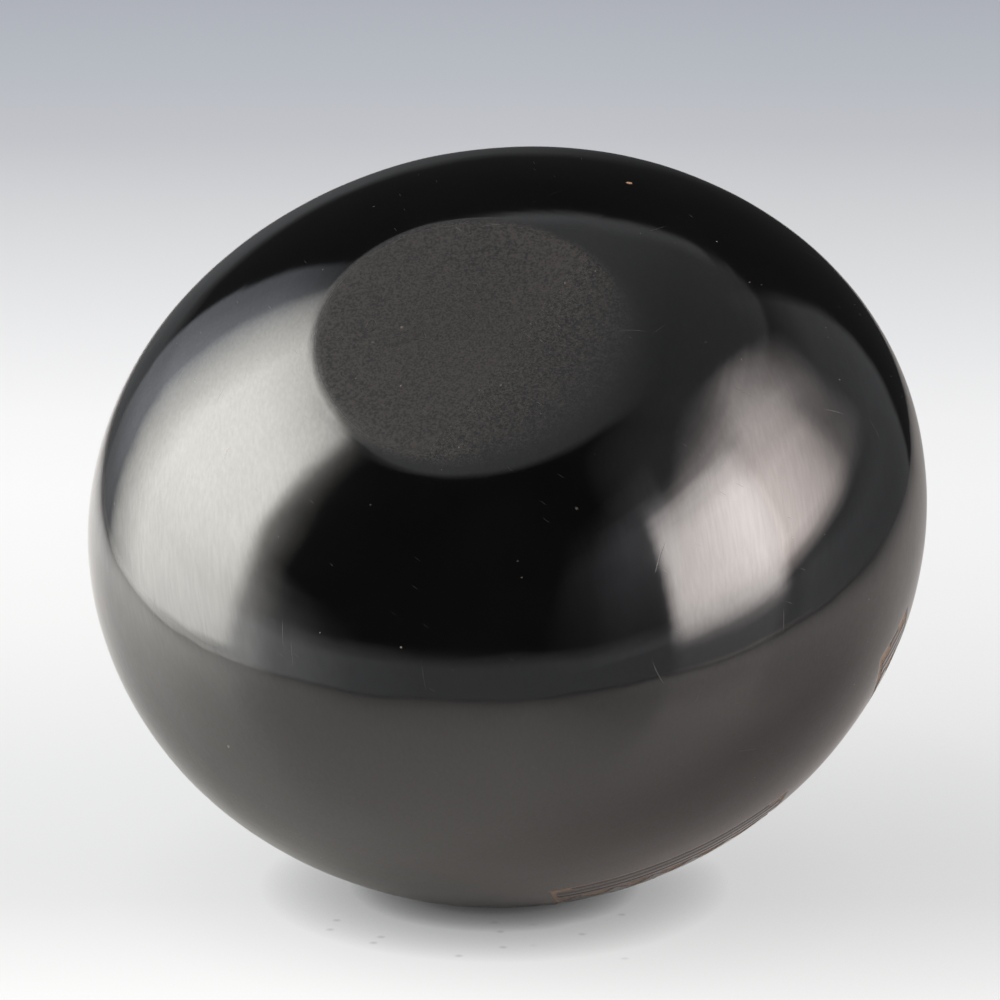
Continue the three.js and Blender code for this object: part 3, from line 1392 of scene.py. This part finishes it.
@dataclass(frozen=True)
class PaperTable:
    """The pale paper that the bowl lies on.

    To the camera it shows a painted tone: painted light that is brighter towards the front, a band of
    painted shade about the bowl, greyer and bluer towards the back, painted shade close under the bowl and,
    more softly, a painted shadow on the side away from the left panel, with a few crumbs before the bowl.
    To everything else it is plain warm white paper, lit by the panels, with a painted shadow that dims it
    on the right and a painted reflection of the left panel that glows at the back on the left. It is clear
    from below and at its edges.
    """

    paper: Colour = (0.609, 0.600, 0.594, 1.0)
    # Painted light and shade of the paper as the camera sees it: brighter towards the front, a painted
    # shade band about the bowl, greyer and bluer towards the back.
    painted_tones: tuple[tuple[float, Colour], ...] = (
        (-0.06, (1.08, 1.08, 1.08, 1.0)),
        (-0.04, (1.02, 1.022, 1.022, 1.0)),
        (-0.025, (0.943, 0.948, 0.948, 1.0)),
        (-0.009, (0.863, 0.871, 0.871, 1.0)),
        (0.004, (0.852, 0.861, 0.861, 1.0)),
        (0.035, (0.866, 0.875, 0.877, 1.0)),
        (0.10, (0.94, 0.945, 0.945, 1.0)),
        (0.16, (0.965, 0.97, 0.975, 1.0)),
        (0.20, (0.94, 0.945, 0.955, 1.0)),
        (0.24, (0.86, 0.868, 0.882, 1.0)),
        (0.29, (0.765, 0.775, 0.795, 1.0)),
        (0.34, (0.68, 0.69, 0.71, 1.0)),
        (0.40, (0.57, 0.58, 0.62, 1.0)),
        (0.46, (0.50, 0.53, 0.58, 1.0)),
        (0.54, (0.45, 0.47, 0.525, 1.0)),
    )
    paper_sheen: float = 0.3
    paper_ior: float = 1.28
    lit_share: float = 0.12
    near_shades: tuple[Pair, ...] = ((1.2 * MM, 0.55), (2.6 * MM, 0.85), (6.5 * MM, 0.53), (16 * MM, 0.06))
    side_shade: float = 110 * MM
    side_depth: float = 0.33
    side_light: Triple = (-0.93, -0.1, 0.36)
    crumb_cells: float = 230.0
    crumb_size: Pair = (0.13, 0.04)
    crumb_drawn: Pair = (0.60, 0.75)
    crumb_area: tuple[Pair, Pair] = ((-26 * MM, 14 * MM), (-29 * MM, -13 * MM))
    crumb_depth: float = 0.22
    # Painted shadow: the lit paper's colour is darkened on the right of the bowl.
    painted_shadow_span: tuple[Pair, Pair] = ((0.0, 0.05), (0.20, 0.09))
    painted_shadow_depth: float = 0.24
    # Painted reflection of the left panel: the lit paper glows as emission at the back on the left.
    glow: float = 0.95
    painted_reflection_place: Pair = (-0.19, 0.18)
    painted_reflection_reach: Pair = (0.24, 0.04)
    reach: float = 0.8
    fade: Pair = (0.75, 0.99)

    def build(self, studio: Studio) -> bpy.types.Object:
        """Lay the paper under the bowl."""
        r = self.reach
        maps = [(-r, -r), (r, -r), (r, r), (-r, r)]
        placing = studio.placing()
        corners = [placing @ Vector((x, y, 0.0)) for x, y in maps]
        return stage_mesh("paper_table", corners, maps, self.material(studio))

    def material(self, studio: Studio) -> bpy.types.Material:
        """The paper's finish: what the camera sees of it, and what lights the bowl."""
        made = bpy.data.materials.new("pale_paper")
        graph = blank_graph(made)
        across, back, _ = graph.parts(graph.wire("ShaderNodeUVMap", {"uv_map": CARD_MAP}))
        seen = graph.wire("ShaderNodeLightPath", None, None, "Is Camera Ray")
        sides = {
            0: seen * (1 - self.lit_share),
            1: self.lit_paper(graph, across, back),
            2: self.painted_tone_and_shade(graph, studio, across, back),
        }
        paper = graph.wire("ShaderNodeMixShader", None, sides)
        clear = graph.wire("ShaderNodeBsdfTransparent")
        under = graph.wire("ShaderNodeNewGeometry", None, None, "Backfacing")
        start, end = ((self.reach * share) ** 2 for share in self.fade)
        away = (across * across + back * back).ramp(start, end)
        graph.end(graph.wire("ShaderNodeMixShader", None, {0: under.most(away), 1: paper, 2: clear}))
        return made

    def painted_tone_and_shade(self, graph: Graph, studio: Studio, across: Wire, back: Wire) -> Wire:
        """The painted tone that the camera sees: painted light and shade along the paper, the painted shade
        of the bowl, and the crumbs.
        """
        # Painted light and shade along the paper, then painted shade from the bowl's nearness and on the
        # side away from the left panel.
        tone = graph.stops(back, self.painted_tones)
        to_light = graph.vector(*(studio.axes() @ Vector(self.side_light).normalized()))
        shade = self.shade(graph, self.side_shade, self.side_depth, {"Normal": to_light})
        for reach, depth in self.near_shades:
            shade = shade * self.shade(graph, reach, depth, {})
        shade = shade * (1.0 - self.crumbs(graph, across, back) * self.crumb_depth)
        colour = graph.mix(shade, BLACK, tone)
        return graph.wire("ShaderNodeEmission", None, {"Color": colour, "Strength": 1.0})

    def lit_paper(self, graph: Graph, across: Wire, back: Wire) -> Wire:
        """The paper that the panels light, with a painted shadow that darkens it on the right and a painted
        reflection of the left panel glowing at the back on the left.
        """
        # Painted reflection of the left panel, a glow about a place at the back on the left.
        glow_x, glow_y = across - self.painted_reflection_place[0], back - self.painted_reflection_place[1]
        glow = graph.math("SQRT", glow_x * glow_x + glow_y * glow_y).ramp(*self.painted_reflection_reach)
        # Painted shadow on the right side of the paper.
        painted_shadow_share = across.ramp(*self.painted_shadow_span[0]) * across.ramp(*self.painted_shadow_span[1]) * self.painted_shadow_depth
        finish = {
            "Base Color": graph.mix(painted_shadow_share, self.paper, BLACK),
            "Roughness": self.paper_sheen,
            "IOR": self.paper_ior,
            "Emission Color": graph.mix(glow, BLACK, self.paper),
            "Emission Strength": self.glow,
        }
        return graph.wire("ShaderNodeBsdfPrincipled", None, finish)

    def crumbs(self, graph: Graph, across: Wire, back: Wire) -> Wire:
        """A few crumbs of clay that lie on the paper just before the bowl."""
        spot = graph.vector(across, back, 0.0)
        crumbs = graph.spots(spot, self.crumb_cells, self.crumb_size, self.crumb_drawn, dimensions="2D")
        for place, (low, high) in zip((across, back), self.crumb_area):
            crumbs = crumbs * place.ramp(low, low + MM) * place.ramp(high, high - MM)
        return crumbs

    @staticmethod
    def shade(graph: Graph, reach: float, depth: float, inputs: dict[int | str, Any]) -> Wire:
        """Shade of what stands within reach: 1 in the open, and 1 less depth where all is hidden."""
        sockets = {"Distance": reach} | inputs
        open_share = graph.wire("ShaderNodeAmbientOcclusion", {"samples": 4}, sockets, "AO")
        return 1 - depth + open_share * depth


@dataclass(frozen=True)
class DimRoom:
    """The dim room round the table, which the glossy wall reflects between the light panels.

    It has a low glow about the horizon, a lit ceiling whose far and near ends have edges of their own, a
    soft patch over the right panel, and a dim wall at the back on the right. Places are an angle to the
    right from the camera's side and an angle up, and a spread is the two angles between which a patch
    fades. The camera sees a plain pale background.
    """

    background: Colour = (0.80, 0.81, 0.84, 1.0)
    tint: Colour = (0.95, 0.97, 1.0, 1.0)
    dark: float = 0.025
    horizon: float = 0.28
    horizon_end: Pair = (math.radians(18), math.radians(11))
    left_boost: float = 0.25
    left_reach: Pair = (-0.45, -0.95)
    open_reach: Pair = (0.85, -0.05)
    open_right: float = 0.35
    open_left: float = 0.4
    open_left_reach: Pair = (0.15, -0.25)
    ceiling: float = 0.23
    ceiling_slope: float = 0.35
    ceiling_least: float = 0.15
    ceiling_place: Pair = (math.radians(172), math.radians(79))
    ceiling_spread: Pair = (math.radians(31.2), math.radians(29.8))
    ceiling_end: Pair = (0.615, 0.585)
    rim: float = 0.10
    rim_start: Pair = (0.53, 0.57)
    near_place: Pair = (math.radians(-137), math.radians(77.3))
    near_spread: Pair = (math.radians(25.6), math.radians(21.5))
    near_reach: Pair = (0.0, -0.2)
    over_right: float = 0.15
    over_right_place: Pair = (math.radians(48), math.radians(64))
    over_right_spread: Pair = (math.radians(17), math.radians(4))
    right_wall: float = 0.20
    wall_slant: Pair = (1.15, 0.4)
    wall_far: Pair = (-0.03, 0.05)
    wall_near: Pair = (0.0, 0.15)
    wall_top: Pair = (0.85, 0.65)
    wall_foot: Pair = (0.05, 0.35)
    wall_foot_share: float = 0.7

    @staticmethod
    def toward(studio: Studio, place: Pair) -> Vector:
        """The direction of a place, in the bowl's frame."""
        turn, rise = place
        level = Vector((math.sin(turn), -math.cos(turn), 0.0)) * math.cos(rise)
        return studio.axes() @ (level + Vector((0.0, 0.0, math.sin(rise))))

    def build(self, studio: Studio) -> None:
        """Set the world up."""
        world = bpy.data.worlds.new("dim_room")
        bpy.context.scene.world = world
        graph = blank_graph(world)
        way = graph.wire("ShaderNodeTexCoord", None, None, "Generated")
        axes = studio.axes()
        right, away, up = (graph.dot(way, axes.col[n].copy()) for n in range(3))

        def spot(place: Pair, spread: Pair) -> Wire:
            """1 about a direction, falling off from one angle out from it to another."""
            from_middle = graph.dot(way, self.toward(studio, place))
            return from_middle.ramp(math.cos(spread[0]), math.cos(spread[1]))

        low = up.ramp(math.sin(self.horizon_end[0]), math.sin(self.horizon_end[1]))
        open_front = (away + right.most(0.0) * self.open_right).ramp(*self.open_reach)
        open_side = open_front.most(right.ramp(*self.open_left_reach) * self.open_left)
        glow = low * (self.horizon + right.ramp(*self.left_reach) * self.left_boost) * open_side
        level = (self.ceiling - right * self.ceiling_slope).most(self.ceiling_least)
        level = level + away.ramp(*self.rim_start) * self.rim
        far = spot(self.ceiling_place, self.ceiling_spread) * away.ramp(*self.ceiling_end)
        near = spot(self.near_place, self.near_spread)
        top = (far + (near - far) * away.ramp(*self.near_reach)) * level
        far_slant, near_slant = self.wall_slant
        sides = (right * far_slant - away).ramp(*self.wall_far)
        sides = sides * (away + right * near_slant).ramp(*self.wall_near)
        foot_share = self.wall_foot_share
        foot = foot_share + up.ramp(*self.wall_foot) * (1 - foot_share)
        wall = sides * up.ramp(*self.wall_top) * foot * self.right_wall
        over = spot(self.over_right_place, self.over_right_spread) * self.over_right
        share = glow + top + wall + over + self.dark
        colour = graph.mix(share, BLACK, self.tint)
        room = graph.wire("ShaderNodeBackground", None, {"Color": colour, "Strength": 1.0})
        plain = graph.wire("ShaderNodeBackground", None, {"Color": self.background, "Strength": 1.0})
        seen = graph.wire("ShaderNodeLightPath", None, None, "Is Camera Ray")
        shader = graph.wire("ShaderNodeMixShader", None, {0: seen, 1: room, 2: plain})
        graph.end(shader, "ShaderNodeOutputWorld")


LIGHT_CARDS = (
    LightCard(
        name="left_softbox",
        azimuth=-100.0,
        distance=0.40,
        left=((-0.24, 0.0), (-0.06, 0.90), (0.03, 1.0)),
        right=(
            (0.160, 1.0), (0.184, 0.88), (0.202, 0.48), (0.220, 0.18), (0.24, 0.09), (0.27, 0.035),
            (0.31, 0.0),
        ),
        upwards=(
            (0.0, 0.24), (0.010, 0.36), (0.022, 0.58), (0.06, 0.66), (0.12, 0.75), (0.20, 0.90),
            (0.28, 1.0), (0.42, 1.0), (0.50, 0.94), (0.62, 0.73), (0.75, 0.30), (0.88, 0.0),
        ),
        radiance=6.7,
        colour=(1.0, 0.982, 0.925, 1.0),
        lean=(0.11, 0.18),
        lean_height=0.23,
        slope=0.1,
    ),
    LightCard(
        name="left_spill",
        azimuth=-100.0,
        distance=0.41,
        left=((-0.41, 0.0), (-0.385, 0.48), (-0.34, 0.58), (-0.30, 0.78), (-0.26, 1.0)),
        right=((-0.24, 1.0), (-0.14, 0.0)),
        upwards=(
            (0.0, 0.1), (0.06, 0.22), (0.12, 0.45), (0.25, 1.0), (0.50, 0.85), (0.62, 0.5), (0.85, 0.0),
        ),
        radiance=0.95,
        colour=(0.88, 0.92, 1.0, 1.0),
    ),
    LightCard(
        name="left_tail",
        azimuth=-100.0,
        distance=0.405,
        left=((0.18, 0.0), (0.215, 0.95), (0.24, 1.0)),
        right=((0.26, 0.95), (0.30, 0.62), (0.34, 0.34), (0.50, 0.12), (0.70, 0.0)),
        upwards=((0.0, 1.0), (0.15, 1.0), (0.20, 0.85), (0.27, 0.35), (0.34, 0.0)),
        radiance=1.15,
        colour=(1.0, 0.99, 0.97, 1.0),
    ),
    LightCard(
        name="right_softbox",
        azimuth=60.0,
        distance=0.45,
        left=((-0.272, 0.0), (-0.23, 0.64), (-0.10, 0.82), (-0.02, 1.0)),
        right=((-0.06, 1.0), (-0.01, 0.95), (0.014, 0.84), (0.032, 0.48), (0.05, 0.1), (0.06, 0.0)),
        upwards=(
            (0.0, 0.03), (0.07, 0.04), (0.10, 0.12), (0.15, 0.66), (0.20, 0.90), (0.26, 1.0),
            (0.42, 1.0), (0.50, 0.92), (0.56, 0.74), (0.60, 0.58), (0.65, 0.45), (0.70, 0.27),
            (0.75, 0.10), (0.80, 0.03), (0.88, 0.0),
        ),
        radiance=8.3,
        colour=(1.0, 0.92, 0.89, 1.0),
        lean=(0.12, 0.0),
    ),
    LightCard(
        name="right_spill",
        azimuth=60.0,
        distance=0.46,
        left=((0.012, 0.0), (0.03, 0.35), (0.045, 0.9), (0.055, 1.0)),
        right=(
            (0.05, 0.82), (0.08, 0.78), (0.12, 0.69), (0.20, 0.52), (0.28, 0.33), (0.36, 0.12),
            (0.40, 0.07), (0.49, 0.045), (0.59, 0.022), (0.70, 0.0),
        ),
        upwards=(
            (0.118, 0.0), (0.15, 0.25), (0.185, 0.75), (0.22, 1.0), (0.45, 0.97), (0.55, 0.60),
            (0.65, 0.22), (0.73, 0.0),
        ),
        radiance=7.2,
        colour=(1.0, 0.88, 0.84, 1.0),
        slope=0.33,
    ),
    LightCard(
        name="right_upper_spill",
        azimuth=60.0,
        distance=0.465,
        left=((-0.36, 0.0), (-0.20, 0.27), (-0.10, 0.58), (0.0, 1.0)),
        right=((0.06, 0.97), (0.16, 0.74), (0.26, 0.48), (0.36, 0.24), (0.46, 0.12), (0.58, 0.0)),
        upwards=(
            (0.48, 0.0), (0.60, 0.28), (0.70, 0.68), (0.80, 0.85), (0.90, 0.69), (1.0, 0.50),
            (1.2, 0.22), (1.4, 0.0),
        ),
        radiance=4.0,
        colour=(1.0, 0.90, 0.87, 1.0),
        lean=(-0.45, -0.45),
        lean_height=0.5,
    ),
    LightCard(
        name="right_halo",
        azimuth=60.0,
        distance=0.47,
        left=((-0.80, 0.0), (-0.54, 0.30), (-0.40, 0.9), (-0.32, 1.0)),
        right=((-0.24, 1.0), (-0.22, 0.0)),
        upwards=(
            (0.12, 0.2), (0.3, 0.4), (0.4, 0.55), (0.5, 0.75), (0.7, 1.0), (0.8, 0.75), (0.9, 0.35),
            (1.2, 0.0),
        ),
        radiance=0.42,
        colour=(0.93, 0.94, 1.0, 1.0),
    ),
)


def main() -> None:
    """Build the bowl, the table, the light and the camera."""
    logging.basicConfig(level=logging.INFO, format="%(name)s: %(message)s")
    bpy.context.scene.view_settings.view_transform = "Standard"
    bowl = CoilBowl()
    pieces = bowl.build()
    log.info("%d clay pieces", len(pieces))
    studio = Studio(bowl.shape)
    for card in LIGHT_CARDS:
        log.info("light panel %s", card.build(studio).name)
    log.info("table %s", PaperTable().build(studio).name)
    DimRoom().build(studio)
    studio.add_camera()


if __name__ == "__main__":
    main()
